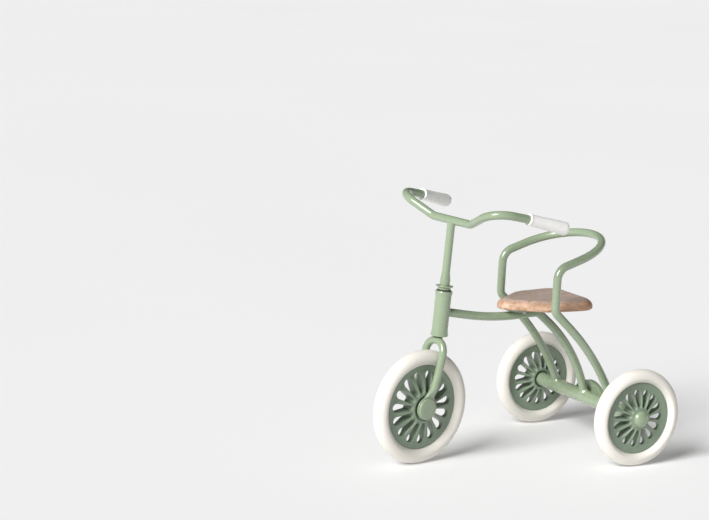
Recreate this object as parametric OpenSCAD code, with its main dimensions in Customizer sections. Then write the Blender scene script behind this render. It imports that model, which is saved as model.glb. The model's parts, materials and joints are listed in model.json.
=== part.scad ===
// Doll's tricycle: a bent-rod frame on three moulded wheels, with a wooden seat.
// +X is forward, +Y is the rider's left and +Z is up, in millimetres.
// The origin is on the ground, under the middle of the rear axle.

/* [Wheels] */
// Outer radius of the front tyre
front_r = 22; // [20:0.5:22]
// Outer radius of each rear tyre
rear_r = 18.9; // [18:0.1:19.2]
// Distance from the rear axle forward to the front axle
wheelbase = 76.5; // [75:0.1:78]
// Distance between the middle planes of the rear wheels
track = 69.6; // [66:0.2:76]
// Width of the front tyre
front_tyre_w = 6.3; // [6:0.1:6.3]
// Width of each rear tyre
rear_tyre_w = 6.1; // [5.6:0.1:6.6]
// Teardrop slots in each wheel disc
slots = 15; // [9:1:17]

/* [Frame] */
// Thickness of the rod that the hoop and the handlebar are bent from
rod_d = 3.2; // [2.8:0.1:3.4]
// Thickness of the backbone rod
backbone_d = 3.3; // [2.8:0.1:3.6]
// Outside of the tube that holds the rear axle
axle_tube_d = 5.6; // [4.8:0.1:5.8]
// Half the width of the seat hoop, between rod centres
hoop_half = 19.4; // [18:0.1:22]
// Height of the bend at the top of the hoop's uprights
hoop_top = 75.2; // [72:0.2:80]
// Slope of the backrest above level, in degrees
backrest_tilt = 17.6; // [5:0.1:25]

/* [Steering] */
// How far the steering is turned to the left as modelled, in degrees
steer = 10.4; // [-40:0.1:40]
// How far the head tube leans back, in degrees
rake = 4.25; // [3.5:0.05:5]
// Where the steering axis meets the ground
axis_x = 72.2; // [71.5:0.1:72.5]
// Outside of the head tube
head_d = 6.2; // [5.8:0.1:7]
// Height of the handlebar's middle
bar_z = 92.9; // [90:0.1:100]
// Thickness of the fork rod
fork_d = 3; // [2.6:0.1:3]

/* [Seat] */
// Height of the seat's underside
seat_z = 57.3; // [57:0.1:57.5]
// Thickness of the seat board
seat_t = 3.9; // [3.2:0.1:5]
// Width of the seat board at the back
seat_w = 30; // [27:0.2:32]

/* [Hidden] */
$fn = 64;

enamel = "#A9BE9B";
disc_green = "#7F957C";
tyre_white = "#ECE6DC";
grip_white = "#E6E6E4";
seat_wood = "#B59A84";
bush_green = "#4A5746";
bare_steel = "#9A9A98";

// Running clearance round every pin that turns
run = 0.05;
// Gap between parts on different bodies that slide face to face
slip = 0.2;
cut = 0.5;
// Growth of a rod's thickness in its bends, and how far a straight run reaches into a bend
bend_growth = 0.01;
tuck = 0.02;

// Wheels
front_rim_r = 16.4;
front_hub_r = 5.4;
front_hub_half = 3.15;
front_recess_d = 9.8;
front_recess_h = 0.7;
front_band_half = 0.85;
front_slot_in = 0.95;
front_slot_reach = 0.76;
rear_rim_r = 13.95;
rear_hub_r = 3.9;
rear_hub_out = 2.9;
rear_hub_in = 3.9;
rear_band_half = 0.9;
rear_slot_in = 0.75;
rear_slot_reach = 0.7;
axle_d = 2.4;
rim_half = 1.3;
rim_ridge = 0.7;
ridge_half = 0.6;
// Where the first slot of each wheel stands, in degrees forward of level
front_phase = 5.9;
left_phase = 12.6;
right_phase = 3.9;

// Head tube, measured along the steering axis from the ground
head_lo = 48.9;
head_hi = 66.2;
head_bore = 4.8;
lip_h = 0.9;
lip_d = head_d + 0.5;
bush_h = 4;
bush_flange_d = 5.5;
bush_flange_h = 0.45;
steerer_d = 3.0;
collar_lo = head_hi + bush_flange_h + 0.1;
collar_h = 1.6;
collar_rim_h = 0.45;
collar_rim_d = 6.9;
stem_d = 3.1;
swell_d = 3.9;
swell_top = 70.4;
swell_taper = 2.4;

// Fork, before it is turned with the steering
crown_x = 69.6;
crown_z = 47.05;
leg_half = 4.9;
knee_x = 72.4;
knee_z = 35;
crown_bend = 4.6;
knee_bend = 30;
eye_d = 8.7;
eye_t = 0.9;
eye_in = front_hub_half + slip;
flat_lo = 4.6;
flat_hi = 7.4;
front_cap_d = 8.3;
front_cap_h = 0.9;

// Rear axle
tube_half = track / 2 - rear_hub_in - slip;
axle_bore = 3.0;
rear_recess_d = 6.9;
rear_recess_h = 1.6;
rear_cap_d = 6.3;
rear_cap_h = 2.0;

// Backbone: head tube, dip, bend under the seat, curve of the centre leg, foot on the axle tube
backbone = [[67.9, 0, 58], [45.4, 0, 53.85], [24.4, 0, 54.8], [5.4, 0, 38.9], [0, 0, rear_r]];
backbone_bends = [0, 100, 4.5, 60, 0];

// Hoop: foot on the axle tube, the leg's two slow bends, the bend up into the upright,
// the shoulder, and the backrest
foot = [-0.3, hoop_half, rear_r];
calf = [8, hoop_half, 38];
thigh = [22.1, hoop_half, 52];
hip = [29.4, hoop_half, 58.8];
shoulder = [29.1, hoop_half, hoop_top];
hoop_bends = [0, 90, 20, 3.5, 5.5];
back_run = 29.8;
back = shoulder + back_run * [-cos(backrest_tilt), 0, sin(backrest_tilt)];

// Handlebar, before it is turned with the steering
bar_x = 65;
bar_mid = [bar_x, 10.6, bar_z];
bar_horn = [69.8, 27.6, bar_z + 7.9];
grip_start = [54.9, 30.2, bar_z + 4.6];
grip_end = [37.8, 33.8, bar_z];
bar_bends = [5.3, 7.7, 9.8, 0];
grip_d1 = 4.4;
grip_d2 = 5.3;
grip_round = 1.6;
// The grip starts where the bar's last bend ends
grip_inset = 0.5;

// Seat plate and seat
plate_t = 1;
plate_half = 5.4;
plate_front = 38.5;
plate_back = 20;
screw_x = [25.5, 33];
screw_y = 3.6;
seat_front = 42.3;
seat_back = 5.8;
seat_bevel = 2.9;

// ---- helpers ----

function unit(v) = v / norm(v);
function mirrored(p) = [p.x, -p.y, p.z];
function bend_angle(p, i) = acos(unit(p[i] - p[i - 1]) * unit(p[i + 1] - p[i]));
function is_end(p, i) = i == 0 || i == len(p) - 1;
function setback(p, r, i) = is_end(p, i) ? 0 : r[i] * tan(bend_angle(p, i) / 2);

// Aims +Z along a vector from a point
module aimed(from, along) {
    polar = acos(along.z / norm(along));
    translate(from)
        rotate([0, polar, atan2(along.y, along.x)])
            children();
}

module rod(from, to, d) {
    aimed(from, to - from)
        cylinder(h = norm(to - from), d = d);
}

// One bend of a rod: part of a torus that is tangent to both straight runs
module elbow(p, i, r, d) {
    into = unit(p[i] - p[i - 1]);
    out_of = unit(p[i + 1] - p[i]);
    angle = bend_angle(p, i);
    start = p[i] - into * r * tan(angle / 2);
    centre = p[i] + unit(out_of - into) * r / cos(angle / 2);
    ax = unit(start - centre);
    az = cross(ax, into);
    multmatrix([
        [ax.x, into.x, az.x, centre.x],
        [ax.y, into.y, az.y, centre.y],
        [ax.z, into.z, az.z, centre.z],
        [0, 0, 0, 1]])
        rotate_extrude(angle = angle)
            translate([r, 0])
                circle(d = d + bend_growth);
}

// A rod bent to a radius at each inner point of its path. Bending swells the rod a little,
// so each straight run ends inside the bend that follows it.
module bent_rod(p, r, d) {
    for (i = [0:len(p) - 2]) {
        u = unit(p[i + 1] - p[i]);
        from = p[i] + u * (setback(p, r, i) - (is_end(p, i) ? 0 : tuck));
        to = p[i + 1] - u * (setback(p, r, i + 1) - (is_end(p, i + 1) ? 0 : tuck));
        rod(from, to, d);
    }
    for (i = [1:len(p) - 2])
        elbow(p, i, r[i], d);
}

// Puts children on the steering axis, at a distance from the ground
module on_head(s) {
    translate([axis_x, 0, 0])
        rotate([0, -rake, 0])
            translate([0, 0, s])
                children();
}

// Turns children with the steering
module steered() {
    translate([axis_x, 0, 0])
        rotate([0, -rake, 0])
            rotate([0, 0, steer])
                rotate([0, rake, 0])
                    translate([-axis_x, 0, 0])
                        children();
}

// Puts children on the front wheel's axis, with +Z along the axis
module on_front_axle() {
    steered()
        translate([wheelbase, 0, front_r])
            rotate([-90, 0, 0])
                children();
}

module on_rear_axle(side) {
    translate([0, side * track / 2, rear_r])
        rotate([-90 * side, 0, 0])
            children();
}

// ---- wheels, standing on Z ----

// A slot's outline: round outside, narrowing towards the hub
module teardrop(r_in, w_in, r_out, w_out) {
    lean = asin((w_out - w_in) / (r_out - r_in));
    translate([r_in, 0])
        circle(r = w_in, $fn = 24);
    translate([r_out, 0])
        circle(r = w_out, $fn = 32);
    polygon([
        [r_in - w_in * sin(lean), w_in * cos(lean)],
        [r_out - w_out * sin(lean), w_out * cos(lean)],
        [r_out - w_out * sin(lean), -w_out * cos(lean)],
        [r_in - w_in * sin(lean), -w_in * cos(lean)]]);
}

// The moulded disc: shallow dished rim band, ribs that rise to the hub ring, and a ridge
// under the tyre
module wheel_disc(rim_r, band_half, hub_r, hub_out, hub_in, slot_in, slot_reach, phase) {
    slot_r = rim_r * slot_reach;
    slot_out = rim_r * 0.1;
    rib_start = slot_r + slot_out + 0.2;
    rib_mid = (hub_r + rib_start) / 2;
    function arch(hub) = band_half + (hub - band_half) * 0.62;
    difference() {
        rotate_extrude()
            polygon([
                [axle_d / 2 + run, -hub_in], [hub_r, -hub_in], [hub_r + 0.3, -hub_in + 0.3],
                [rib_mid, -arch(hub_in)], [rib_start, -band_half], [rim_r, -rim_half],
                [rim_r, -ridge_half], [rim_r + rim_ridge, -ridge_half],
                [rim_r + rim_ridge, ridge_half], [rim_r, ridge_half],
                [rim_r, rim_half], [rib_start, band_half], [rib_mid, arch(hub_out)],
                [hub_r + 0.3, hub_out - 0.3], [hub_r, hub_out], [axle_d / 2 + run, hub_out]]);
        for (i = [0:slots - 1])
            rotate([0, 0, phase + i * 360 / slots])
                translate([0, 0, -hub_in - cut])
                    linear_extrude(hub_in + hub_out + 2 * cut)
                        teardrop(hub_r + 0.6 + slot_in, slot_in, slot_r, slot_out);
    }
}

// A round section whose inner shoulders fall to the edge of the rim
module tyre(outer_r, width, rim_r) {
    shoulder = outer_r - width / 2 - rim_r;
    rise = width / 2 - rim_half;
    difference() {
        rotate_extrude()
            translate([outer_r - width / 2, 0])
                circle(d = width);
        translate([0, 0, -width])
            cylinder(h = 2 * width, r = rim_r);
        for (side = [0, 180])
            rotate([side, 0, 0])
                rotate_extrude()
                    polygon([
                        [rim_r - 1, rim_half], [rim_r, rim_half],
                        [rim_r + 0.21 * shoulder, rim_half + 0.4 * rise],
                        [rim_r + 0.47 * shoulder, rim_half + 0.74 * rise],
                        [rim_r + 0.8 * shoulder, width / 2],
                        [rim_r + 0.8 * shoulder, width], [rim_r - 1, width]]);
        translate([0, 0, -ridge_half])
            cylinder(h = 2 * ridge_half, r = rim_r + rim_ridge);
    }
}

module front_disc() {
    color(disc_green)
        on_front_axle()
            difference() {
                wheel_disc(
                    front_rim_r, front_band_half, front_hub_r, front_hub_half,
                    front_hub_half, front_slot_in, front_slot_reach, -front_phase);
                for (side = [0, 180])
                    rotate([side, 0, 0])
                        translate([0, 0, front_hub_half - front_recess_h])
                            cylinder(h = front_recess_h + cut, d = front_recess_d);
            }
}

module front_tyre() {
    color(tyre_white)
        on_front_axle()
            tyre(front_r, front_tyre_w, front_rim_r);
}

module rear_disc(side, phase) {
    color(disc_green)
        difference() {
            on_rear_axle(side)
                wheel_disc(
                    rear_rim_r, rear_band_half, rear_hub_r, rear_hub_out,
                    rear_hub_in, rear_slot_in, rear_slot_reach, phase);
            on_rear_axle(side)
                translate([0, 0, -rear_hub_in - cut])
                    cylinder(h = rear_recess_h + cut, d = rear_recess_d);
        }
}

module rear_tyre(side) {
    color(tyre_white)
        on_rear_axle(side)
            tyre(rear_r, rear_tyre_w, rear_rim_r);
}

module rear_disc_left() { rear_disc(1, -left_phase); }
module rear_disc_right() { rear_disc(-1, right_phase); }
module rear_tyre_left() { rear_tyre(1); }
module rear_tyre_right() { rear_tyre(-1); }

// ---- frame ----

module head_tube() {
    color(enamel)
        on_head(head_lo)
            difference() {
                union() {
                    cylinder(h = head_hi - head_lo, d = head_d);
                    cylinder(h = lip_h, d = lip_d);
                    translate([0, 0, head_hi - head_lo - lip_h])
                        cylinder(h = lip_h, d = lip_d);
                }
                translate([0, 0, -cut])
                    cylinder(h = head_hi - head_lo + 2 * cut, d = head_bore);
            }
}

module bush_body(flange) {
    difference() {
        union() {
            cylinder(h = bush_h, d = head_bore);
            if (flange)
                translate([0, 0, bush_h])
                    cylinder(h = bush_flange_h, d = bush_flange_d);
        }
        translate([0, 0, -cut])
            cylinder(h = bush_h + 2 * cut, d = steerer_d + 2 * run);
    }
}

module lower_bush() {
    color(bush_green)
        on_head(head_lo)
            bush_body(false);
}

module upper_bush() {
    color(bush_green)
        on_head(head_hi - bush_h)
            bush_body(true);
}

module axle_solid(extra) {
    rod([0, -tube_half - extra, rear_r], [0, tube_half + extra, rear_r], axle_tube_d);
}

module backbone_tube() {
    color(enamel)
        difference() {
            bent_rod(backbone, backbone_bends, backbone_d);
            on_head(head_lo)
                cylinder(h = head_hi - head_lo, d = head_d);
            axle_solid(cut);
        }
}

module seat_hoop() {
    side = [foot, calf, thigh, hip, shoulder, back];
    side_bends = [for (b = hoop_bends) b, hoop_half - 0.05];
    path = [for (p = side) p, for (i = [5:-1:0]) mirrored(side[i])];
    bends = [for (b = side_bends) b, for (i = [5:-1:0]) side_bends[i]];
    color(enamel)
        difference() {
            bent_rod(path, bends, rod_d);
            axle_solid(cut);
        }
}

module axle_tube() {
    color(enamel)
        difference() {
            axle_solid(0);
            rod([0, -track, rear_r], [0, track, rear_r], axle_bore);
        }
}

// A low arched plate that stands on the back of the axle tube, with a lip along its arch
module tow_plate() {
    half = 9.5;
    top = 6.4;
    foot_drop = 1.6;
    arch_r = 12.3;
    lip = 0.5;
    module arch(depth, inner_r) {
        rotate([90, 0, 90])
            linear_extrude(depth)
                intersection() {
                    translate([0, top - arch_r])
                        difference() {
                            circle(r = arch_r, $fn = 128);
                            circle(r = inner_r, $fn = 128);
                        }
                    translate([-half, -foot_drop])
                        square([2 * half, foot_drop + top]);
                }
    }
    color(enamel)
        difference() {
            translate([-axle_tube_d / 2 - 0.7, 0, rear_r]) {
                arch(0.9, 1);
                arch(1.8, arch_r - lip);
            }
            axle_solid(cut);
        }
}

module rear_axle() {
    reach = track / 2 + rear_hub_out + slip;
    color(bare_steel)
        rod([0, -reach, rear_r], [0, reach, rear_r], axle_d);
}

// A flat-backed rivet head with a short straight edge
module dome(d, h, edge) {
    rise = h - edge;
    ball_r = (d * d / 4 + rise * rise) / (2 * rise);
    intersection() {
        cylinder(h = h, d = d);
        translate([0, 0, h - ball_r])
            sphere(r = ball_r, $fn = 200);
    }
}

module rear_cap(side) {
    color(enamel)
        on_rear_axle(side)
            translate([0, 0, rear_hub_out + slip])
                dome(rear_cap_d, rear_cap_h, 0.5);
}

module rear_cap_left() { rear_cap(1); }
module rear_cap_right() { rear_cap(-1); }

// ---- seat ----

module seat_plate() {
    color(enamel)
        difference() {
            translate([0, 0, seat_z - plate_t])
                linear_extrude(plate_t) {
                    translate([plate_back, -plate_half])
                        square([plate_front - plate_half - plate_back, 2 * plate_half]);
                    translate([plate_front - plate_half, 0])
                        circle(r = plate_half);
                    translate([plate_back, 0])
                        circle(r = plate_half);
                }
            bent_rod(backbone, backbone_bends, backbone_d);
            for (x = screw_x, y = [-screw_y, screw_y])
                translate([x, y, seat_z - plate_t - cut])
                    cylinder(h = plate_t + 2 * cut, d = 1.2);
        }
}

// The board's outline: rounded nose, swept sides and a broad, nearly straight back
module seat_outline(inset) {
    nose_r = 5.5;
    side_r = 11;
    back_r = 7.2;
    hull() {
        translate([seat_front - nose_r, 0])
            circle(r = nose_r - inset);
        for (s = [-1, 1]) {
            translate([23.8, s * (seat_w / 2 - 1.1 - side_r)])
                circle(r = side_r - inset);
            translate([seat_back + back_r, s * (seat_w / 2 - back_r)])
                circle(r = back_r - inset);
        }
    }
}

module seat_layer(height, inset) {
    translate([0, 0, seat_z + height])
        linear_extrude(0.05)
            seat_outline(inset);
}

module seat_board() {
    color(seat_wood)
        difference() {
            hull() {
                seat_layer(0, 0.6);
                seat_layer(0.6, 0);
                seat_layer(1.2, 0.1);
                seat_layer(seat_t - 0.9, 1.1);
                seat_layer(seat_t - 0.05, seat_bevel);
            }
            for (x = screw_x, y = [-screw_y, screw_y])
                translate([x, y, seat_z - cut])
                    cylinder(h = 1.8 + cut, d = 1.2);
        }
}

module seat_screws() {
    color(bare_steel)
        for (x = screw_x, y = [-screw_y, screw_y])
            translate([x, y, seat_z - plate_t]) {
                cylinder(h = plate_t + 1.8, d = 1.2);
                translate([0, 0, -0.7])
                    difference() {
                        cylinder(h = 0.7, d1 = 1.7, d2 = 2.3);
                        translate([-1.5, -0.2, -cut])
                            cube([3, 0.4, 0.35 + cut]);
                    }
            }
}

// ---- steering ----

module bar_solid() {
    half = [bar_mid, bar_horn, grip_start, grip_end];
    path = [for (i = [3:-1:0]) mirrored(half[i]), for (i = [0:3]) half[i]];
    bends = [for (i = [3:-1:0]) bar_bends[i], for (i = [0:3]) bar_bends[i]];
    bent_rod(path, bends, rod_d);
}

module handlebar() {
    color(enamel)
        steered()
            difference() {
                bar_solid();
                // The bar ends short of the closed ends of the grips
                for (s = [-1, 1])
                    bar_tip(s)
                        cylinder(h = 5, d = 8);
            }
}

// Puts children at the tip of one grip, with +Z outwards along the bar
module bar_tip(side) {
    tip = [grip_end.x, side * grip_end.y, grip_end.z];
    start = [grip_start.x, side * grip_start.y, grip_start.z];
    aimed(tip - 2 * unit(tip - start), tip - start)
        children();
}

module grip(side) {
    tip = [grip_end.x, side * grip_end.y, grip_end.z];
    start = [grip_start.x, side * grip_start.y, grip_start.z];
    length = norm(tip - start);
    color(grip_white)
        steered()
            difference() {
                aimed(start, tip - start)
                    rotate_extrude()
                        polygon([
                            [0, grip_inset], [grip_d1 / 2, grip_inset],
                            for (a = [0:15:90])
                                [grip_d2 / 2 - grip_round * (1 - cos(a)),
                                    length - grip_round * (1 - sin(a))],
                            [0, length]]);
                rod(start, tip - 2 * unit(tip - start), rod_d);
            }
}

module grip_left() { grip(1); }
module grip_right() { grip(-1); }

function leg_run() = unit([knee_x - wheelbase, 0, knee_z - front_r]);

module crown_solid() {
    tip = [wheelbase, leg_half, front_r] + flat_lo * leg_run();
    knee = [knee_x, leg_half, knee_z];
    crown = [crown_x, leg_half, crown_z];
    p = [tip, knee, crown, mirrored(crown), mirrored(knee), mirrored(tip)];
    bent_rod(p, [0, knee_bend, crown_bend, crown_bend, knee_bend, 0], fork_d);
}

// Stands children on the inner face of an eye, with +X up the leg and +Z outwards
module on_eye(side) {
    run = leg_run();
    translate([wheelbase, side * eye_in, front_r])
        rotate([-90 * side, 0, 0])
            rotate([0, 0, -side * atan2(run.z, run.x)])
                children();
}

// The rod's end, flattened to a round eye
module fork_eye(side) {
    on_eye(side)
        linear_extrude(eye_t) {
            circle(d = eye_d);
            teardrop(0, eye_d / 2 - 0.4, flat_hi, fork_d / 2 - 0.1);
        }
}

// What the flattening takes off the outside of the rod
module flattened(side) {
    slope = atan2(leg_half + fork_d / 2 - eye_in - eye_t, flat_hi - flat_lo);
    on_eye(side)
        translate([flat_lo, -fork_d, eye_t])
            rotate([0, -slope, 0])
                cube([12, 2 * fork_d, 6]);
}

module fork() {
    color(enamel)
        steered()
            difference() {
                union() {
                    difference() {
                        crown_solid();
                        for (s = [-1, 1])
                            flattened(s);
                    }
                    for (s = [-1, 1])
                        fork_eye(s);
                }
                translate([wheelbase, 0, front_r])
                    rotate([-90, 0, 0])
                        cylinder(h = 30, d = axle_d, center = true);
            }
}

module stem() {
    color(enamel)
        difference() {
            union() {
                on_head(crown_z)
                    cylinder(h = swell_top - crown_z, d = steerer_d);
                on_head(collar_lo + collar_h)
                    cylinder(h = swell_top - collar_lo - collar_h, d = swell_d);
                on_head(swell_top)
                    cylinder(h = swell_taper, d1 = swell_d, d2 = stem_d);
                on_head(swell_top + swell_taper)
                    cylinder(h = bar_z - swell_top - swell_taper, d = stem_d);
            }
            steered() {
                rod([bar_x, -12, bar_z], [bar_x, 12, bar_z], rod_d);
                crown_solid();
            }
        }
}

module collar() {
    color(enamel)
        on_head(collar_lo)
            difference() {
                union() {
                    cylinder(h = collar_h, d1 = 5.0, d2 = 4.7);
                    translate([0, 0, collar_h - collar_rim_h])
                        cylinder(h = collar_rim_h, d = collar_rim_d);
                }
                translate([0, 0, -cut])
                    cylinder(h = collar_h + 2 * cut, d = steerer_d);
            }
}

module front_axle() {
    color(bare_steel)
        on_front_axle()
            cylinder(h = 2 * (eye_in + eye_t), d = axle_d, center = true);
}

module front_cap(side) {
    color(enamel)
        on_front_axle()
            rotate([side > 0 ? 0 : 180, 0, 0])
                translate([0, 0, eye_in + eye_t])
                    dome(front_cap_d, front_cap_h, 0.6);
}

module front_cap_left() { front_cap(1); }
module front_cap_right() { front_cap(-1); }

head_tube();
backbone_tube();
seat_hoop();
axle_tube();
tow_plate();
seat_plate();
seat_board();
seat_screws();
lower_bush();
upper_bush();
rear_axle();
rear_cap_left();
rear_cap_right();
stem();
collar();
handlebar();
grip_left();
grip_right();
fork();
front_axle();
front_cap_left();
front_cap_right();
front_disc();
front_tyre();
rear_disc_left();
rear_tyre_left();
rear_disc_right();
rear_tyre_right();
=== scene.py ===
import bpy
import bmesh
import json
import math
import numpy as np
from mathutils import Matrix, Vector, noise


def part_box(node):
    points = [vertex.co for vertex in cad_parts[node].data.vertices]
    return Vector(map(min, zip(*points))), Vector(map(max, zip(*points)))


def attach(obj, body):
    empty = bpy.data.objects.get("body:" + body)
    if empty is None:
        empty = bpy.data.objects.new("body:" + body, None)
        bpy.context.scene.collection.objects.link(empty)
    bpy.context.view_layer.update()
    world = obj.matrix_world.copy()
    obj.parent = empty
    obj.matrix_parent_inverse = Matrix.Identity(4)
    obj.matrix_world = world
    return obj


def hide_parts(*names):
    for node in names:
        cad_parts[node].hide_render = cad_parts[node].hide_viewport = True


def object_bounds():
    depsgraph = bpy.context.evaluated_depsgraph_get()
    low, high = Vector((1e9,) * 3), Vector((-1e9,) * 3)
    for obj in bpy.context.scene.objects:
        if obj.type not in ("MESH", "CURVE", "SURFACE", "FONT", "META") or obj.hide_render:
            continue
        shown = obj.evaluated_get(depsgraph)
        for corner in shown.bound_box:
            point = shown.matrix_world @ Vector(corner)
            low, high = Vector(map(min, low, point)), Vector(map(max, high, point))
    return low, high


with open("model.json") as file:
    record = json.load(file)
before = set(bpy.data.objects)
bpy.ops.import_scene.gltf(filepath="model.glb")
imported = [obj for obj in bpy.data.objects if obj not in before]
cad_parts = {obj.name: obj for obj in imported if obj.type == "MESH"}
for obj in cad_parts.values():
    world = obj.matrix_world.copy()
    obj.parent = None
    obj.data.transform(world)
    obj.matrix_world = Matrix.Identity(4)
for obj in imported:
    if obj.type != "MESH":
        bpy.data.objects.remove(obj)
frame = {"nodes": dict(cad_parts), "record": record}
cad_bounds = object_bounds()
nodes = frame["nodes"]
record = frame["record"]
joints = {joint["name"]: joint for joint in record["behaviour"]["joints"]}

# Everything below is in millimetres until it is placed: MM turns it into metres.
MM = 0.001

# Half the angle at an outline's corner, in radians, past which the corner isn't rounded
NEARLY_STRAIGHT = 1.55

# Wheel discs: a wheel's radii, its heights from the middle plane, and its slots' sizes
SLOTS = 15
FRONT = dict(rim=16.4, band=0.85, hub=5.4, hub_out=3.15, hub_in=3.15, recess=4.9,
             recess_out=0.7, recess_in=0.7, slot_in=0.95, slot_reach=0.76)
REAR = dict(rim=13.95, band=0.9, hub=3.9, hub_out=2.9, hub_in=3.9, recess=3.45,
            recess_out=0.0, recess_in=1.6, slot_in=0.75, slot_reach=0.7)
FRONT_PHASE = 5.9
LEFT_PHASE = 12.6
RIGHT_PHASE = 3.9
BORE = 1.25
RIDGE = 0.7
RIDGE_HALF = 0.6
RIM_HALF = 1.3
RIM_EDGE = 0.3
SLOT_GAP = 0.6
SLOT_OUT = 0.1
HUB_CHAMFER = 0.15

# The rounding of the slots' edges: its width near the hub and near the rim, its depth as a share
# of that width, and the most of a rib that it may take
EDGE_NEAR_HUB = 0.62
EDGE_NEAR_RIM = 0.2
EDGE_DEPTH = 1.1
EDGE_MOST = 0.92

# Steps along the parts of a sector's boundary, the angles round a slot's edge, and the rows past it
HUB_STEPS = 4
RIB_STEPS = 36
RIM_STEPS = 6
EDGE_TURNS = [0, 15, 30, 45, 60, 75, 90]
FLAT_STEPS = 2

# Tyres
FRONT_TYRE_W = 6.3
REAR_TYRE_W = 6.1
TYRE_GAP = 0.03
SHOULDER_POWER = 1.9

# Rods
ROD = 1.6
BACKBONE = 1.65
TUBE = 2.8
HOOP_HALF = 19.4
HOOP_FOOT = Vector((-0.3, 0, 18.9))
CALF = Vector((8, 0, 38))
REAR_R = 18.9
CENTRE_FOOT = Vector((0, 0, REAR_R))
CENTRE_CALF = Vector((5.4, 0, 38.9))
BACKBONE_FRONT = Vector((67.9, 0, 58))
BACKBONE_DIP = Vector((45.4, 0, 53.85))

# Steering, before it is turned
WHEELBASE = 76.5
FRONT_R = 22.0
BAR_X = 65.0
BAR_Z = 92.9
CROWN = Vector((69.6, 4.9, 47.05))
KNEE = Vector((72.4, 4.9, 35))
CROWN_BEND = 4.6
KNEE_BEND = 30.0
FORK = 1.5
EYE = 4.35
EYE_IN = 3.35
EYE_OUT = 4.25
FLARE = 5.0
EYE_ANGLES = (6, 14, 24, 36, 50, 64, 78, 90)
FILLET_STEPS = 6
SWELL_STEPS = 16
SWELL_START = 3.6
SWELL_LENGTH = 5.4
LEG_TOP = 9.5

# Seat: circles of the outline as (x, y, radius), the width of the rounding above, the height at
# which it starts, the radius below, the angle at which the rounding ends, and the outline's first points
SEAT_CIRCLES = [(36.8, 0, 5.5), (23.8, 2.9, 11), (23.8, -2.9, 11), (13.0, 7.8, 7.2), (13.0, -7.8, 7.2)]
SEAT_BEVEL = 2.9
SEAT_EDGE = 0.9
SEAT_UNDER = 0.7
SEAT_LAST = math.radians(74)
SEAT_DENSE = 1440

# Light and floor: angles in degrees, and half of the floor's side in metres
KEY_AZIMUTH = 20
KEY_ELEVATION = 35
KEY_SPREAD = 30
KEY_ENERGY = 4.3
BRIGHT_SIDE = Vector((0.60, -0.10, 0.80)).normalized()
SKY_DIM = 0.002
SKY_BRIGHT = 0.20
HORIZON = 0.75
FLOOR_HALF = 12.0


# ---------------------------------------------------------------- steering frame

head = Vector(joints["steering_turn"]["pos_m"]) / MM
head_axis = Vector(joints["steering_turn"]["axis"]).normalized()
front_axis = Vector(joints["front_wheel_spin"]["axis"]).normalized()


def steered(v):
    """Turns a direction that was worked out straight ahead to where the steering points."""
    across = Vector((0, 1, 0))
    ahead = across.cross(head_axis)
    return (v.dot(head_axis) * head_axis + v.dot(across) * front_axis
            + v.dot(ahead) * front_axis.cross(head_axis))


def steered_point(p):
    return head + steered(p - head)


# ---------------------------------------------------------------- mesh helpers

def axes_matrix(x, y, z, origin):
    m = Matrix((x, y, z)).transposed().to_4x4()
    m.translation = origin
    return m


def aimed(origin, along, side=None):
    """A matrix with +Z along a direction and +X as near to `side` as it can be."""
    z = along.normalized()
    x = side if side is not None else z.orthogonal()
    x = (x - x.dot(z) * z).normalized()
    return axes_matrix(x, z.cross(x), z, origin)


def rounded(points, radii, steps):
    """Rounds each inner corner of an open outline by its own radius."""
    out = [Vector(points[0])]
    for i in range(1, len(points) - 1):
        p, a, b = (Vector(points[k]) for k in (i, i - 1, i + 1))
        r = radii[i]
        u, v = (a - p).normalized(), (b - p).normalized()
        half = u.angle(v) / 2
        reach = min(r / math.tan(half), (a - p).length * 0.49, (b - p).length * 0.49)
        if r <= 0 or half > NEARLY_STRAIGHT:
            out.append(p)
            continue
        for k in range(steps + 1):
            t = k / steps
            out.append((1 - t) ** 2 * (p + u * reach) + 2 * t * (1 - t) * p + t * t * (p + v * reach))
    out.append(Vector(points[-1]))
    return out


def add_rows(bm, rows, closed=True):
    """Joins rows of points of equal length with quads."""
    made = [[bm.verts.new(p) for p in row] for row in rows]
    count = len(rows[0])
    for a, b in zip(made, made[1:]):
        for i in range(count if closed else count - 1):
            j = (i + 1) % count
            bm.faces.new((a[i], a[j], b[j], b[i]))
    return made


def finish_mesh(name, bm, body, material, replaced=(), matrix=None, sharp=None):
    """Joins doubled points, moves the mesh into place, turns it into metres and states what it is."""
    bmesh.ops.remove_doubles(bm, verts=bm.verts, dist=0.0005)
    bmesh.ops.dissolve_degenerate(bm, edges=bm.edges, dist=0.0002)
    if matrix is not None:
        bm.transform(matrix)
    bmesh.ops.recalc_face_normals(bm, faces=bm.faces)
    bm.transform(Matrix.Scale(MM, 4))
    mesh = bpy.data.meshes.new(name)
    bm.to_mesh(mesh)
    bm.free()
    mesh.shade_smooth()
    if sharp is not None:
        mesh.set_sharp_from_angle(angle=math.radians(sharp))
    obj = bpy.data.objects.new(name, mesh)
    bpy.context.scene.collection.objects.link(obj)
    mesh.materials.append(MATERIALS[material])
    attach(obj, body)
    if replaced:
        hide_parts(*replaced)
    return obj


def lathe(name, profile, matrix, body, material, replaced=(), segments=96, sharp=40):
    """Turns an outline of (radius, height) points round +Z. An outline that starts and ends
    on the axis makes a closed piece, and any other is closed by joining its ends."""
    bm = bmesh.new()
    on_axis = profile[0][0] < 1e-6
    outline = list(profile) if on_axis else list(profile) + [profile[0]]
    rows = []
    for r, h in outline:
        angles = [2 * math.pi * i / segments for i in range(segments)]
        rows.append([(r * math.cos(a), r * math.sin(a), h) for a in angles])
    add_rows(bm, rows)
    return finish_mesh(name, bm, body, material, replaced, matrix, sharp)


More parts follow.
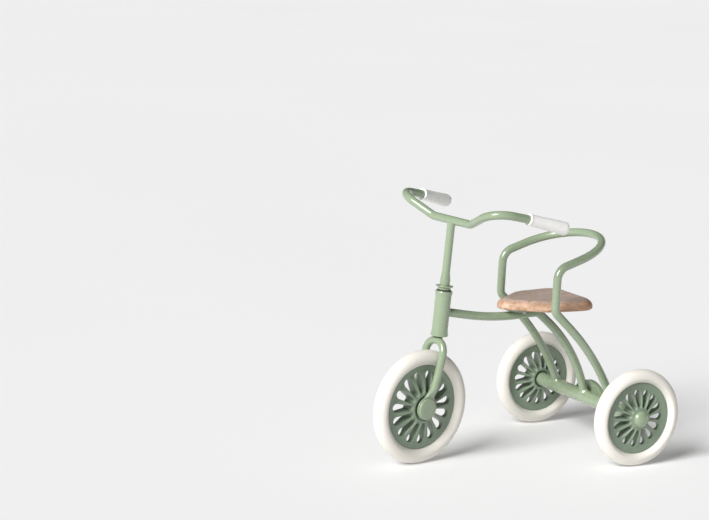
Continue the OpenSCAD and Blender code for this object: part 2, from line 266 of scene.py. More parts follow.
def along_axis(node, origin, axis):
    """The lowest and highest distance of a CAD node along an axis, in millimetres."""
    points = np.array([v.co for v in nodes[node].data.vertices]) / MM
    reach = (points - np.array(origin)) @ np.array(axis)
    return float(reach.min()), float(reach.max())


def long_axis(node, near):
    """The ends of a long CAD node's axis, the one nearer to a point first."""
    points = np.array([v.co for v in nodes[node].data.vertices]) / MM
    spread = np.linalg.svd(points - points.mean(0), full_matrices=False)[2][0]
    reach = (points - points.mean(0)) @ spread
    ends = []
    for r, pick in ((reach.min(), reach < reach.min() + 0.6), (reach.max(), reach > reach.max() - 0.6)):
        middle = (points[pick].min(0) + points[pick].max(0)) / 2
        ends.append(Vector(middle + spread * (r - (middle - points.mean(0)) @ spread)))
    return sorted(ends, key=lambda p: (p - near).length)


# ---------------------------------------------------------------- materials

class Nodes:
    """A short way to write one material's node tree."""

    def __init__(self, name):
        self.mat = bpy.data.materials.new(name)
        self.mat.use_nodes = True
        self.tree = self.mat.node_tree
        self.bsdf = self.tree.nodes["Principled BSDF"]

    def new(self, kind):
        return self.tree.nodes.new(kind)

    def plug(self, value, socket):
        if isinstance(value, bpy.types.NodeSocket):
            self.tree.links.new(value, socket)
        elif isinstance(value, tuple) and len(value) == 3 and socket.type == "RGBA":
            socket.default_value = (*value, 1)
        else:
            socket.default_value = value

    def place(self):
        return self.new("ShaderNodeTexCoord").outputs["Object"]

    def stretched(self, vector, scale):
        m = self.new("ShaderNodeMapping")
        m.inputs["Scale"].default_value = scale
        self.plug(vector, m.inputs["Vector"])
        return m.outputs["Vector"]

    def noise(self, vector, scale, detail=3.0, rough=0.5, distortion=0.0):
        n = self.new("ShaderNodeTexNoise")
        for key, value in (("Vector", vector), ("Scale", scale), ("Detail", detail),
                           ("Roughness", rough), ("Distortion", distortion)):
            self.plug(value, n.inputs[key])
        return n.outputs["Fac"]

    def span(self, value, low, high, out_low=0.0, out_high=1.0):
        m = self.new("ShaderNodeMapRange")
        for key, v in (("Value", value), ("From Min", low), ("From Max", high),
                       ("To Min", out_low), ("To Max", out_high)):
            self.plug(v, m.inputs[key])
        return m.outputs["Result"]

    def mix(self, fac, a, b, blend="MIX"):
        m = self.new("ShaderNodeMix")
        m.data_type = "RGBA"
        m.blend_type = blend
        self.plug(fac, m.inputs[0])
        self.plug(a, m.inputs[6])
        self.plug(b, m.inputs[7])
        return m.outputs[2]

    def math(self, op, a, b=0.0):
        m = self.new("ShaderNodeMath")
        m.operation = op
        self.plug(a, m.inputs[0])
        self.plug(b, m.inputs[1])
        return m.outputs[0]

    def part(self, vector, axis):
        s = self.new("ShaderNodeSeparateXYZ")
        self.plug(vector, s.inputs[0])
        return s.outputs[axis]

    def bump(self, height, distance, strength=1.0, below=None):
        b = self.new("ShaderNodeBump")
        b.inputs["Distance"].default_value = distance
        b.inputs["Strength"].default_value = strength
        self.plug(height, b.inputs["Height"])
        if below is not None:
            self.plug(below, b.inputs["Normal"])
        return b.outputs["Normal"]

    def finish(self, **sockets):
        for key, value in sockets.items():
            self.plug(value, self.bsdf.inputs[key.replace("_", " ")])
        return self.mat


def enamel_material():
    """Thick stove enamel on metal: glossy, with faint runs, dust nibs and worn thin places."""
    n = Nodes("enamel_sage")
    v = n.place()
    color = n.mix(n.span(n.noise(v, 60, 3), 0.3, 0.7), (0.250, 0.322, 0.205), (0.272, 0.348, 0.226))
    thin = n.span(n.noise(v, 330, 5, 0.65), 0.62, 0.74)
    color = n.mix(n.math("MULTIPLY", thin, 0.07), color, (0.42, 0.52, 0.36))
    nibs = n.span(n.noise(v, 1500, 1), 0.76, 0.82)
    color = n.mix(n.math("MULTIPLY", nibs, 0.15), color, (0.16, 0.19, 0.13))
    rough = n.span(n.noise(v, 350, 4), 0.3, 0.7, 0.22, 0.34)
    runs = n.bump(n.noise(v, 160, 2), 0.00003, 0.2)
    normal = n.bump(n.noise(v, 900, 2), 0.000003, 0.12, runs)
    return n.finish(Base_Color=color, Roughness=rough, Normal=normal,
                    Coat_Weight=1.0, Coat_Roughness=0.17, IOR=1.5)


def disc_material():
    """Satin moulded plastic, slightly greyer than the enamel, with faint dust in patches."""
    n = Nodes("disc_satin")
    v = n.place()
    color = n.mix(n.span(n.noise(v, 80, 3), 0.3, 0.7), (0.190, 0.250, 0.178), (0.222, 0.290, 0.206))
    dust = n.span(n.noise(v, 420, 5, 0.7), 0.55, 0.75)
    color = n.mix(n.math("MULTIPLY", dust, 0.12), color, (0.40, 0.43, 0.36))
    rough = n.span(n.noise(v, 500, 3), 0.3, 0.7, 0.30, 0.44)
    normal = n.bump(n.noise(v, 1100, 3, 0.6), 0.00001, 0.5)
    return n.finish(Base_Color=color, Roughness=rough, Normal=normal, Coat_Weight=0.15, Coat_Roughness=0.2)


def tyre_material():
    """Cream rubber, smooth from the mould, with faint clouding and handling marks."""
    n = Nodes("tyre_cream")
    v = n.place()
    color = n.mix(n.span(n.noise(v, 55, 4, 0.6), 0.3, 0.7), (0.77, 0.735, 0.665), (0.82, 0.79, 0.73))
    marks = n.span(n.noise(v, 260, 6, 0.7), 0.62, 0.78)
    color = n.mix(n.math("MULTIPLY", marks, 0.25), color, (0.62, 0.56, 0.48))
    rough = n.span(n.noise(v, 600, 3), 0.3, 0.7, 0.42, 0.58)
    normal = n.bump(n.noise(v, 1500, 3, 0.6), 0.00001, 0.45)
    return n.finish(Base_Color=color, Roughness=rough, Normal=normal, IOR=1.45)


def grip_material():
    """Glossy white plastic, with faint greying and rub marks."""
    n = Nodes("grip_white")
    v = n.place()
    color = n.mix(n.span(n.noise(v, 120, 3), 0.3, 0.7), (0.82, 0.81, 0.785), (0.87, 0.865, 0.845))
    marks = n.span(n.noise(v, 500, 5, 0.7), 0.60, 0.78)
    color = n.mix(n.math("MULTIPLY", marks, 0.08), color, (0.60, 0.59, 0.57))
    rough = n.span(n.noise(v, 500, 3), 0.3, 0.7, 0.20, 0.30)
    normal = n.bump(n.noise(v, 500, 2), 0.000002, 0.06)
    return n.finish(Base_Color=color, Roughness=rough, Normal=normal, Coat_Weight=0.3, Coat_Roughness=0.1)


def wood_material():
    """Sanded hardwood with its grain from front to back: pale on top, redder round the edges. The paler,
    greyer top is painted light on the upward face, and the darker, redder edges are the same wood in
    painted shade.
    """
    n = Nodes("seat_wood")
    v = n.place()
    along = n.stretched(v, (0.09, 1.0, 1.0))
    bands = n.noise(along, 420, 5, 0.6, 0.4)
    fibres = n.noise(n.stretched(v, (0.06, 1.0, 1.0)), 2400, 4, 0.7)
    pores = n.span(n.noise(n.stretched(v, (0.25, 1.0, 1.0)), 1500, 3, 0.6), 0.54, 0.64)
    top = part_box("seat_board")[1]
    height = n.part(v, "Z")
    # side picks the edges below the top face: face is the wood painted as lit on top, and edge is the same
    # wood painted in shade round the sides
    side = n.span(height, top.z - 0.0009, top.z - 0.0001, 1.0, 0.0)
    face = n.mix(n.span(bands, 0.35, 0.65), (0.49, 0.380, 0.325), (0.60, 0.475, 0.410))
    edge = n.mix(n.span(bands, 0.35, 0.65), (0.40, 0.225, 0.135), (0.70, 0.460, 0.320))
    color = n.mix(side, face, edge)
    color = n.mix(n.span(fibres, 0.3, 0.7, 0.0, 0.35), color, (0.30, 0.18, 0.11))
    color = n.mix(n.math("MULTIPLY", pores, 0.55), color, (0.22, 0.12, 0.07))
    rough = n.span(fibres, 0.3, 0.7, 0.42, 0.62)
    coarse = n.bump(bands, 0.00005, 0.3)
    normal = n.bump(fibres, 0.00004, 0.5, coarse)
    return n.finish(Base_Color=color, Roughness=rough, Normal=normal)


def bush_material():
    """Dark moulded plastic, matt, with a greasy film in patches."""
    n = Nodes("bush_dark")
    v = n.place()
    color = n.mix(n.noise(v, 250, 3), (0.030, 0.036, 0.026), (0.075, 0.085, 0.062))
    rough = n.span(n.noise(v, 700, 3), 0.3, 0.7, 0.35, 0.55)
    normal = n.bump(n.noise(v, 1800, 2), 0.00001, 0.5)
    return n.finish(Base_Color=color, Roughness=rough, Normal=normal)


def steel_material():
    """Turned steel: fine rings across its length and a dull film."""
    n = Nodes("bare_steel")
    v = n.place()
    rings = n.noise(n.stretched(v, (0.2, 1.0, 0.2)), 2600, 3)
    color = n.mix(n.noise(v, 300, 4), (0.40, 0.40, 0.39), (0.60, 0.59, 0.57))
    rough = n.span(rings, 0.3, 0.7, 0.28, 0.48)
    normal = n.bump(rings, 0.00001, 0.5)
    return n.finish(Base_Color=color, Roughness=rough, Normal=normal, Metallic=1.0)


MATERIALS = {
    "enamel": enamel_material(),
    "disc_green": disc_material(),
    "tyre_white": tyre_material(),
    "grip_white": grip_material(),
    "seat_wood": wood_material(),
    "bush_plastic": bush_material(),
    "bare_steel": steel_material(),
}
SLOT_OF = {part["node"]: part["material_slot"] for part in record["subparts"]}
for name, obj in nodes.items():
    obj.data.materials.clear()
    obj.data.materials.append(MATERIALS[SLOT_OF[name]])


# ---------------------------------------------------------------- wheel discs

def ridge_height(t):
    """How the ribs fall from the hub, at 0, to the band, at 1."""
    return 1 - 0.30 * t * (1 - t) ** 2 - 3 * t * t + 2 * t ** 3 + 1.26 * t * t * (1 - t)


def slots_end(wheel):
    """The radius at which a disc's slots end."""
    return wheel["rim"] * (wheel["slot_reach"] + SLOT_OUT)


def disc_surface(wheel, hub_height):
    """The height of a disc's face at each radius, before its edges are rounded."""
    band_start = slots_end(wheel) + 0.2
    shoulder = hub_height - HUB_CHAMFER

    def height(r):
        t = (r - wheel["hub"]) / (band_start - wheel["hub"])
        if t >= 1:
            rise = (r - band_start) / (wheel["rim"] - band_start)
            return wheel["band"] + (RIM_HALF - wheel["band"]) * rise
        return wheel["band"] + (shoulder - wheel["band"]) * ridge_height(max(t, 0))
    return height


def sector_boundary(wheel):
    """Half of a sector's boundary: the hub's edge, the middle of a rib, the rim's edge."""
    half = math.pi / SLOTS
    hub, rim = wheel["hub"], wheel["rim"] - RIM_EDGE
    points = [(hub * math.cos(half * i / HUB_STEPS), hub * math.sin(half * i / HUB_STEPS))
              for i in range(HUB_STEPS)]
    for i in range(RIB_STEPS + 1):
        r = hub + (rim - hub) * (1 - math.cos(math.pi * i / RIB_STEPS)) / 2
        points.append((r * math.cos(half), r * math.sin(half)))
    for i in range(RIM_STEPS - 1, -1, -1):
        points.append((rim * math.cos(half * i / RIM_STEPS), rim * math.sin(half * i / RIM_STEPS)))
    return [Vector(p) for p in points]


def slot_edge(wheel, p):
    """The point of a slot's teardrop outline that is nearest to a point outside it."""
    w_in, w_out = wheel["slot_in"], wheel["rim"] * SLOT_OUT
    r_in, r_out = wheel["hub"] + SLOT_GAP + w_in, wheel["rim"] * wheel["slot_reach"]
    lean = math.asin((w_out - w_in) / (r_out - r_in))
    along = Vector((math.cos(lean), math.sin(lean)))
    normal = Vector((-math.sin(lean), math.cos(lean)))
    inner, outer = Vector((r_in, 0)), Vector((r_out, 0))
    start = inner + normal * w_in
    length = (outer + normal * w_out - start).dot(along)
    t = (p - start).dot(along)
    if t < 0:
        return inner + (p - inner).normalized() * w_in
    if t > length:
        return outer + (p - outer).normalized() * w_out
    return start + along * t


def edge_width(wheel, q, reach):
    """How wide the rounding is at a point of a slot's outline, where the rib's half is `reach`."""
    out = (q.length - wheel["hub"]) / (slots_end(wheel) - wheel["hub"])
    return min(EDGE_NEAR_HUB + (EDGE_NEAR_RIM - EDGE_NEAR_HUB) * out, EDGE_MOST * reach)


def face_rows(wheel, half, side, height):
    """Rows of points over one face: round the slot's edge, then flat to the sector's boundary."""
    rows = []
    for step in range(len(EDGE_TURNS) + FLAT_STEPS):
        row = []
        for p in half:
            q = slot_edge(wheel, p)
            reach = (p - q).length
            edge = edge_width(wheel, q, reach)
            drop = EDGE_DEPTH * edge
            if step < len(EDGE_TURNS):
                turn = math.radians(EDGE_TURNS[step])
                d, fall = edge * (1 - math.cos(turn)), drop * (1 - math.sin(turn))
            else:
                d = edge + (reach - edge) * (step - len(EDGE_TURNS) + 1) / FLAT_STEPS
                fall = 0
            x = q + (p - q) * (d / reach)
            row.append((x.x, x.y, side * (height(x.length) - fall)))
        rows.append(row)
    return rows


def sector_rows(wheel, half):
    """Rows of points round one slot: in over the front face, through the slot, out over the back."""
    front = face_rows(wheel, half, 1, disc_surface(wheel, wheel["hub_out"]))
    back = face_rows(wheel, half, -1, disc_surface(wheel, wheel["hub_in"]))
    return [row + [(x, -y, z) for x, y, z in row[-2:0:-1]] for row in front[::-1] + back]


def hub_outline(wheel):
    """The hub's section from the front face's inner edge, through the bore, to the back's."""
    def side(hub_height, recess_depth):
        points = [(wheel["hub"], hub_height - HUB_CHAMFER), (wheel["hub"] - 0.13, hub_height)]
        if recess_depth > 0:
            points += [(wheel["recess"] + 0.1, hub_height), (wheel["recess"], hub_height - 0.1),
                       (wheel["recess"], hub_height - recess_depth)]
        return points + [(BORE + 0.1, hub_height - recess_depth), (BORE, hub_height - recess_depth - 0.1)]
    front = side(wheel["hub_out"], wheel["recess_out"])
    back = [(r, -h) for r, h in side(wheel["hub_in"], wheel["recess_in"])]
    return front + back[::-1]


def rim_outline(wheel):
    """The rim's section from the front face's outer edge, over the ridge, to the back's."""
    rim = wheel["rim"]
    edge = rim - RIM_EDGE
    high = disc_surface(wheel, wheel["hub_out"])(edge)
    face = [(edge, high), (rim - 0.1, high - 0.08), (rim, high - 0.3), (rim + 0.02, RIDGE_HALF),
            (rim + RIDGE, RIDGE_HALF)]
    return face + [(r, -h) for r, h in face[::-1]]


def add_ring(bm, outline, angles):
    rows = [[(r * math.cos(a), r * math.sin(a), h) for a in angles] for r, h in outline]
    add_rows(bm, rows, closed=False)


def wheel_disc(name, node, joint, wheel, phase, outward):
    """One moulded disc, made of equal sectors round its slots."""
    bm = bmesh.new()
    half = sector_boundary(wheel)
    rows = sector_rows(wheel, half)
    rings = ((wheel["hub"], hub_outline(wheel)), (wheel["rim"] - RIM_EDGE, rim_outline(wheel)))
    for i in range(SLOTS):
        turn = 2 * math.pi * i / SLOTS
        spin = Matrix.Rotation(turn, 3, "Z")
        add_rows(bm, [[spin @ Vector(p) for p in row] for row in rows])
        for radius, outline in rings:
            angles = [math.atan2(p.y, p.x) for p in half if abs(p.length - radius) < 1e-6]
            both = sorted(set(angles) | {-a for a in angles})
            add_ring(bm, outline, [turn + a for a in both])
    z = Vector(joints[joint]["axis"]).normalized() * outward
    ahead, up = Vector((1, 0, 0)), Vector((0, 0, 1))
    if joint == "front_wheel_spin":
        ahead, up = steered(ahead), steered(up)
    tilt = math.radians(phase)
    first_slot = ahead * math.cos(tilt) + up * math.sin(tilt)
    matrix = aimed(Vector(joints[joint]["pos_m"]) / MM, z, first_slot)
    finish_mesh(name, bm, joints[joint]["child"], "disc_green", [node], matrix, sharp=50)


wheel_disc("front_disc_moulded", "front_disc", "front_wheel_spin", FRONT, FRONT_PHASE, 1)
wheel_disc("rear_disc_left_moulded", "rear_disc_left", "rear_wheel_left_spin", REAR, LEFT_PHASE, 1)
wheel_disc("rear_disc_right_moulded", "rear_disc_right", "rear_wheel_right_spin", REAR, RIGHT_PHASE, -1)


def tyre(name, node, joint, outer, width, wheel):
    """A tyre: round outside, with smooth shoulders that fall to the rim, over the disc's ridge."""
    rim, half = wheel["rim"], width / 2
    middle = outer - half
    groove = RIDGE_HALF + 0.02
    side = [(rim + RIDGE + TYRE_GAP, groove), (rim + TYRE_GAP, groove), (rim + TYRE_GAP, RIM_HALF)]
    for i in range(1, 16):
        t = i / 15
        rise = 1 - (1 - t) ** SHOULDER_POWER
        side.append((rim + TYRE_GAP + (middle - rim - TYRE_GAP) * t, RIM_HALF + (half - RIM_HALF) * rise))
    for i in range(1, 19):
        a = math.radians(90 - 5 * i)
        side.append((middle + half * math.cos(a), half * math.sin(a)))
    outline = side + [(r, -h) for r, h in side[-2::-1]]
    centre = Vector(joints[joint]["pos_m"]) / MM
    axis = Vector(joints[joint]["axis"]).normalized()
    lathe(name, outline, aimed(centre, axis), joints[joint]["child"], "tyre_white", [node], 160, 50)


tyre("front_tyre_moulded", "front_tyre", "front_wheel_spin", FRONT_R, FRONT_TYRE_W, FRONT)
tyre("rear_tyre_left_moulded", "rear_tyre_left", "rear_wheel_left_spin", REAR_R, REAR_TYRE_W, REAR)
tyre("rear_tyre_right_moulded", "rear_tyre_right", "rear_wheel_right_spin", REAR_R, REAR_TYRE_W, REAR)


# ---------------------------------------------------------------- turned parts

def head_tube():
    low, high = along_axis("head_tube", head, head_axis)
    length = high - low
    outline = rounded(
        [(2.4, 0), (3.3, 0), (3.38, 0.35), (3.3, 0.9), (3.1, 2.2), (3.07, length / 2),
         (3.1, length - 2.0), (3.3, length - 0.8), (3.36, length - 0.3), (3.25, length), (2.4, length)],
        [0, 0.12, 0.2, 0.6, 2, 3, 2, 0.6, 0.2, 0.12, 0], 6)
    lathe("head_tube_flared", outline, aimed(head + head_axis * low, head_axis),
          "frame", "enamel", ["head_tube"])


def collar():
    low, high = along_axis("collar", head, head_axis)
    rim = high - low
    outline = rounded(
        [(1.5, 0), (2.45, 0), (2.5, 0.15), (2.4, rim - 0.62), (3.25, rim - 0.52), (3.45, rim - 0.3),
         (3.3, rim - 0.08), (2.2, rim + 0.06), (1.5, rim)],
        [0, 0.1, 0.1, 0.25, 0.15, 0.2, 0.15, 0.1, 0], 5)
    lathe("collar_flanged", outline, aimed(head + head_axis * low, head_axis),
          "steering", "enamel", ["collar"])


def stem():
    low, high = along_axis("stem", head, head_axis)
    flange = along_axis("collar", head, head_axis)[1]
    outline = rounded(
        [(0, low), (1.5, low), (1.5, flange - 0.6), (1.75, flange - 0.2), (1.88, flange + 0.2),
         (1.94, flange + 1.2), (1.98, flange + 2.3), (1.72, flange + 3.8), (1.55, flange + 5.2),
         (1.55, high - 0.5), (0, high - 0.5)],
        [0, 0, 0.3, 0.3, 0.6, 1.5, 1.5, 2.5, 2, 0, 0], 6)
    lathe("stem_swelled", outline, aimed(head, head_axis), "steering", "enamel", ["stem"])


def front_cap(side, name):
    centre = Vector(joints["front_wheel_spin"]["pos_m"]) / MM
    outline = rounded(
        [(0, 1.02), (2.6, 0.98), (3.75, 0.86), (4.1, 0.55), (4.15, 0.2), (4.1, 0), (0, 0)],
        [0, 1.5, 0.6, 0.3, 0.2, 0.05, 0], 6)
    lathe(f"{name}_pressed", outline, aimed(centre + front_axis * side * EYE_OUT, front_axis * side),
          "steering", "enamel", [name])


def rear_cap(side, name):
    joint = joints["rear_wheel_left_spin" if side > 0 else "rear_wheel_right_spin"]
    axis = Vector(joint["axis"]).normalized() * side
    centre = Vector(joint["pos_m"]) / MM
    low, high = along_axis(name, centre, axis)
    rise = high - low
    dome = [(3.05 * math.sin(a), 0.35 + (rise - 0.35) * math.cos(a))
            for a in [math.radians(7.5 * i) for i in range(13)]]
    outline = dome[:-1] + rounded([(3.05, 0.40), (3.2, 0.28), (3.24, 0.1), (3.2, 0), (0, 0)],
                                  [0, 0.12, 0.1, 0.05, 0], 4)
    lathe(f"{name}_domed", outline, aimed(centre + axis * low, axis), "frame", "enamel", [name], sharp=60)


def grip(name):
    start, end = long_axis(name, Vector((BAR_X, 0, BAR_Z)))
    length = (end - start).length
    outline = rounded(
        [(1.62, 0), (2.2, 0), (2.34, 0.12), (2.34, 0.5), (2.2, 0.75), (2.28, length * 0.35),
         (2.50, length * 0.75), (2.6, length - 1.6), (2.42, length - 0.55), (1.5, length - 0.08),
         (0, length), (0, length - 2), (1.62, length - 2)],
        [0, 0.1, 0.12, 0.12, 0.15, 3, 3, 1.2, 0.6, 0.9, 0, 0, 0], 6)
    lathe(f"{name}_moulded", outline, aimed(start, end - start), "steering", "grip_white", [name], sharp=60)


head_tube()
collar()
stem()
front_cap(1, "front_cap_left")
front_cap(-1, "front_cap_right")
rear_cap(1, "rear_cap_left")
rear_cap(-1, "rear_cap_right")
grip("grip_left")
grip("grip_right")


# ---------------------------------------------------------------- fork

def bend(path, i, radius, steps):
    """Points along one bend of a path."""
    p, into, out = path[i], path[i] - path[i - 1], path[i + 1] - path[i]
    into.normalize()
    out.normalize()
    half = into.angle(out) / 2
    start = p - into * radius * math.tan(half)
    centre = p + (out - into).normalized() * radius / math.cos(half)
    axis = into.cross(out)
    return [centre + Matrix.Rotation(2 * half * k / steps, 3, axis) @ (start - centre)
            for k in range(steps + 1)]


def smooth(t):
    t = min(max(t, 0), 1)
    return t * t * (3 - 2 * t)


def leg_sections():
    """Where the flattened end of a leg runs, with its half width, half thickness and squareness."""
    up = (KNEE - Vector((WHEELBASE, KNEE.y, FRONT_R))).normalized()
    fillet = math.sqrt((EYE + FLARE) ** 2 - (FORK + FLARE) ** 2)
    tangent = EYE * fillet / (EYE + FLARE)
    heights = [-EYE * math.cos(math.radians(a)) for a in EYE_ANGLES]
    heights += [tangent * k / FILLET_STEPS for k in range(1, FILLET_STEPS + 1)]
    heights += [tangent + (LEG_TOP - tangent) * k / SWELL_STEPS for k in range(1, SWELL_STEPS + 1)]
    out = []
    for t in heights:
        if t <= tangent:
            width = math.sqrt(EYE ** 2 - t ** 2)
        elif t < fillet:
            width = FORK + FLARE - math.sqrt(FLARE ** 2 - (fillet - t) ** 2)
        else:
            width = FORK
        swell = smooth((t - SWELL_START) / SWELL_LENGTH)
        outer = EYE_OUT + (KNEE.y + FORK - EYE_OUT) * swell
        inner = EYE_IN + (KNEE.y - FORK - EYE_IN) * swell
        centre = Vector((WHEELBASE, (outer + inner) / 2, FRONT_R)) + up * t
        out.append((centre, width, (outer - inner) / 2, 2 + 3.5 * (1 - swell) ** 2))
    return out


def fork():
    """The fork: one rod bent over the wheel, each end flattened to a round eye."""
    up = (KNEE - Vector((WHEELBASE, KNEE.y, FRONT_R))).normalized()
    flip = Vector((1, -1, 1))
    base = Vector((WHEELBASE, KNEE.y, FRONT_R))
    path = [base, KNEE, CROWN, CROWN * flip, KNEE * flip]
    centres = bend(path, 1, KNEE_BEND, 6) + bend(path, 2, CROWN_BEND, 14)
    half = leg_sections() + [(p, FORK, FORK, 2) for p in centres]
    other = [(c * flip, w, h, n) for c, w, h, n in half[::-1]]
    stations = half + other
    flat = len(EYE_ANGLES) + FILLET_STEPS
    bm = bmesh.new()
    ahead = Vector((1, 0, 0))
    rows = []
    count = 40
    for i, (centre, width, thick, square) in enumerate(stations):
        a = stations[max(i - 1, 0)][0]
        b = stations[min(i + 1, len(stations) - 1)][0]
        along = (b - a).normalized()
        if i < flat:
            along = up
        elif i >= len(stations) - flat:
            along = -(up * flip)
        ahead = (ahead - ahead.dot(along) * along).normalized()
        across = along.cross(ahead)
        row = []
        for k in range(count):
            angle = 2 * math.pi * k / count
            c, s = math.cos(angle), math.sin(angle)
            x = width * math.copysign(abs(c) ** (2 / square), c)
            y = thick * math.copysign(abs(s) ** (2 / square), s)
            row.append(steered_point(centre + ahead * x + across * y))
        rows.append(row)
    made = add_rows(bm, rows)
    bm.faces.new(made[0][::-1])
    bm.faces.new(made[-1])
    finish_mesh("fork_forged", bm, "steering", "enamel", ["fork"])


fork()


# ---------------------------------------------------------------- seat

def seat_outline(count):
    """Points and outward normals round the board, evenly spaced."""
    dense = []
    for i in range(SEAT_DENSE):
        a = 2 * math.pi * i / SEAT_DENSE
        n = Vector((math.cos(a), math.sin(a)))
        x, y, r = max(SEAT_CIRCLES, key=lambda c: c[0] * n.x + c[1] * n.y + c[2])
        dense.append((Vector((x, y)) + n * r, n))
    lengths = [0]
    for i in range(SEAT_DENSE):
        lengths.append(lengths[-1] + (dense[(i + 1) % SEAT_DENSE][0] - dense[i][0]).length)
    out, i = [], 0
    for k in range(count):
        want = lengths[-1] * k / count
        while lengths[i + 1] < want:
            i += 1
        t = (want - lengths[i]) / max(lengths[i + 1] - lengths[i], 1e-9)
        a, b = dense[i], dense[(i + 1) % SEAT_DENSE]
        out.append((a[0].lerp(b[0], t), a[1].lerp(b[1], t).normalized()))
    return out


def seat():
    """The seat board: sawn to shape, with a broad rounding above and a small one below."""
    low, high = (v.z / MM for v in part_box("seat_board"))
    outline = seat_outline(220)
    under = SEAT_UNDER
    section = [(4.0, low), (1.6, low)]
    section += [(under - under * math.sin(math.radians(a)), low + under - under * math.cos(math.radians(a)))
                for a in range(0, 91, 15)]
    last = SEAT_LAST
    rise = (high - low - SEAT_EDGE) / math.sin(last)
    run = SEAT_BEVEL / (1 - math.cos(last))
    section += [(run * (1 - math.cos(last * k / 10)), low + SEAT_EDGE + rise * math.sin(last * k / 10))
                for k in range(11)]
    section += [(SEAT_BEVEL + 0.25, high), (SEAT_BEVEL + 1.2, high)]
    bm = bmesh.new()
    rows = [[(*(p - n * inset), z) for p, n in outline] for inset, z in section]
    made = add_rows(bm, rows)
    bm.faces.new(made[0][::-1])
    bm.faces.new(made[-1])
    finish_mesh("seat_board_sanded", bm, "frame", "seat_wood", ["seat_board"], sharp=30)


seat()


# ---------------------------------------------------------------- weld beads

def on_cylinder(p, u, centre, axis, radius):
    """How far along u from p a cylinder's surface lies: the first meeting."""
    d = p - centre
    d -= d.dot(axis) * axis
    v = u - u.dot(axis) * axis
    a, b, c = v.dot(v), 2 * d.dot(v), d.dot(d) - radius * radius
    return (-b - math.sqrt(max(b * b - 4 * a * c, 0))) / (2 * a)


def bead(name, body, top, foot, rod, centre, axis, radius, size=0.55):
    """The uneven ring of weld and enamel where a rod stands on a round tube."""
    down = (foot - top).normalized()
    frame_of = aimed(top, down)
    axis = axis.normalized()
    bm = bmesh.new()
    rows = []
    count = 48
    for k in range(count):
        a = 2 * math.pi * k / count
        out = frame_of.to_3x3() @ Vector((math.cos(a), math.sin(a), 0))
        lump = size * (1 + 0.35 * noise.noise((top + foot + out * 1.8) * 0.9))
        start = top + out * rod
        meet = start + down * on_cylinder(start, down, centre, axis, radius)
        from_axis = meet - centre
        from_axis -= from_axis.dot(axis) * axis
        normal = from_axis.normalized()
        away = (out - out.dot(normal) * normal).normalized()
        above = meet - down * lump * 1.2 - out * 0.08
        beside = meet + away * lump - normal * 0.12
        inside = meet + down * 0.4 - out * 0.4
        middle = meet - down * lump * 0.42 + away * lump * 0.42 + normal * lump * 0.06
        ring = []
        for j in range(7):
            t = j / 6
            ring.append((1 - t) ** 2 * above + 2 * t * (1 - t) * middle + t * t * beside)
        rows.append(ring + [inside])
    rows.append(rows[0])
    add_rows(bm, rows)
    finish_mesh(name, bm, body, "enamel")


def beads():
    across = Vector((0, 1, 0))
    axle = CENTRE_FOOT
    for side, name in ((1, "left"), (-1, "right")):
        shift = across * side * HOOP_HALF
        bead(f"weld_leg_{name}", "frame", CALF + shift, HOOP_FOOT + shift, ROD, axle, across, TUBE)
    bead("weld_leg_centre", "frame", CENTRE_CALF, CENTRE_FOOT, BACKBONE, axle, across, TUBE, 0.6)
    bead("weld_backbone", "frame", BACKBONE_DIP, BACKBONE_FRONT + (BACKBONE_FRONT - BACKBONE_DIP),
         BACKBONE, head, head_axis, 3.08, 0.5)
    bar = steered_point(Vector((BAR_X, 0, BAR_Z)))
    top = bar - head_axis * 12
    bead("weld_stem_top", "steering", top, bar, 1.55, bar, front_axis, ROD, 0.5)


beads()


# ---------------------------------------------------------------- stage, light, camera

def make_floor():
    low = cad_bounds[0][2]
    size = FLOOR_HALF
    mesh = bpy.data.meshes.new("floor")
    corners = [(-size, -size, low), (size, -size, low), (size, size, low), (-size, size, low)]
    mesh.from_pydata(corners, [], [(0, 1, 2, 3)])
    floor = bpy.data.objects.new("floor", mesh)
    bpy.context.scene.collection.objects.link(floor)
    n = Nodes("floor_pale")
    color = n.mix(n.noise(n.place(), 3.0, 2), (0.78, 0.78, 0.78), (0.81, 0.81, 0.81))
    mesh.materials.append(n.finish(Base_Color=color, Roughness=0.8, Specular_IOR_Level=0.1,
                                   Emission_Color=(1.0, 1.0, 1.0), Emission_Strength=0.12))


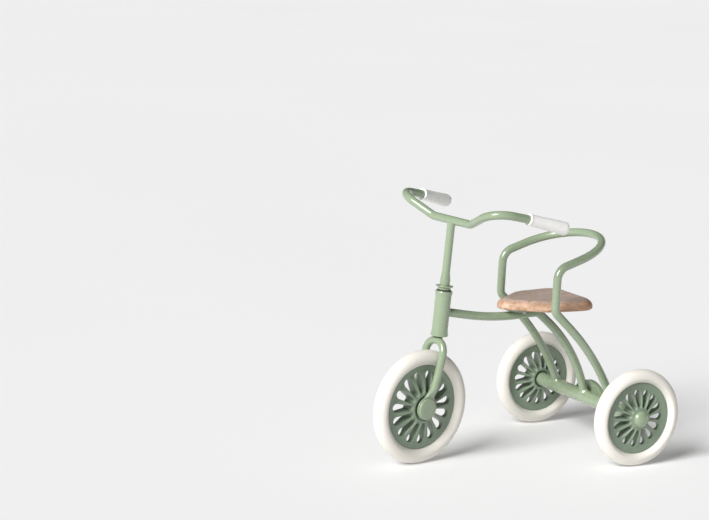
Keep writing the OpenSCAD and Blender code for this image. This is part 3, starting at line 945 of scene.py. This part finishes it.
def make_world():
    """A pale studio: dim, brighter towards the key light, with a light band round the horizon."""
    world = bpy.data.worlds.new("studio")
    bpy.context.scene.world = world
    world.use_nodes = True
    tree = world.node_tree
    background = tree.nodes["Background"]
    coord = tree.nodes.new("ShaderNodeTexCoord").outputs["Generated"]

    def spanned(value, low, high, out_low, out_high, kind="LINEAR"):
        m = tree.nodes.new("ShaderNodeMapRange")
        m.interpolation_type = kind
        for key, v in (("From Min", low), ("From Max", high), ("To Min", out_low), ("To Max", out_high)):
            m.inputs[key].default_value = v
        tree.links.new(value, m.inputs["Value"])
        return m.outputs["Result"]

    facing = tree.nodes.new("ShaderNodeVectorMath")
    facing.operation = "DOT_PRODUCT"
    facing.inputs[1].default_value = BRIGHT_SIDE
    tree.links.new(coord, facing.inputs[0])
    spread = spanned(facing.outputs["Value"], -0.9, 0.9, SKY_DIM, SKY_BRIGHT)

    parts = tree.nodes.new("ShaderNodeSeparateXYZ")
    tree.links.new(coord, parts.inputs[0])
    rise = tree.nodes.new("ShaderNodeMath")
    rise.operation = "ABSOLUTE"
    tree.links.new(parts.outputs["Z"], rise.inputs[0])
    band = spanned(rise.outputs[0], 0.06, 0.22, HORIZON, 0.0, "SMOOTHSTEP")

    brighter = tree.nodes.new("ShaderNodeMath")
    brighter.operation = "MAXIMUM"
    tree.links.new(spread, brighter.inputs[0])
    tree.links.new(band, brighter.inputs[1])
    tree.links.new(brighter.outputs[0], background.inputs["Strength"])
    background.inputs["Color"].default_value = (1, 1, 1, 1)


def make_light():
    """One broad, even light."""
    data = bpy.data.lights.new("key", "SUN")
    data.angle = math.radians(KEY_SPREAD)
    data.energy = KEY_ENERGY
    light = bpy.data.objects.new("key", data)
    bpy.context.scene.collection.objects.link(light)
    turn, rise = math.radians(KEY_AZIMUTH), math.radians(KEY_ELEVATION)
    light.location = (math.cos(rise) * math.cos(turn), math.cos(rise) * math.sin(turn), math.sin(rise))
    light.rotation_euler = (-light.location).to_track_quat("-Z", "Y").to_euler()


def make_camera():
    """A long lens, looking from the front left and a little above."""
    data = bpy.data.cameras.new("camera")
    data.sensor_width = 36.0
    data.lens = 111.26
    data.clip_start = 0.05
    camera = bpy.data.objects.new("camera", data)
    bpy.context.scene.collection.objects.link(camera)
    right = Vector((-0.87885, 0.47578, 0.03535))
    down = Vector((0.05692, 0.17813, -0.98236))
    ahead = Vector((-0.47369, -0.86134, -0.18363))
    camera.matrix_world = axes_matrix(right, -down, -ahead, Vector((0.48866, 0.69521, 0.22829)))
    bpy.context.scene.camera = camera


make_floor()
make_world()
make_light()
make_camera()
bpy.context.scene.view_settings.view_transform = "Standard"
